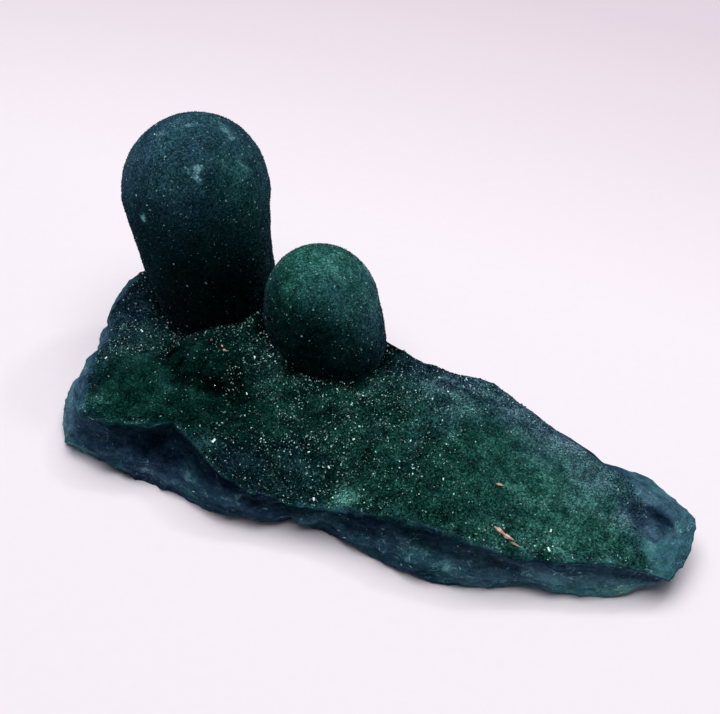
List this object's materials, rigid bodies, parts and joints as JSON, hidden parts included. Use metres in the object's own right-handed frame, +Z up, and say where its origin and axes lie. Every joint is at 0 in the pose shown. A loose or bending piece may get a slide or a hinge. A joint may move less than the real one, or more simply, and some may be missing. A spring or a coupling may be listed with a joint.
{
  "type": "malachite specimen",
  "caption": "Dark green stalactitic malachite: a tall and a short blunt finger standing on a long broken slab crusted with tiny crystals.",
  "frame": {"origin": "middle of the footprint, on the surface the stone rests on", "axes": "+Z up through the fingers, +X along the slab from the broad end with the fingers to the narrow end, +Y to the back edge beside which the fingers stand"},
  "size_m": [0.0738, 0.0346, 0.0293],
  "materials": {
    "malachite": "dull, finely crystalline crust with waxy broken edges"
  },
  "bodies": {
    "root": {"malachite_specimen": "malachite"}
  },
  "joints": []
}
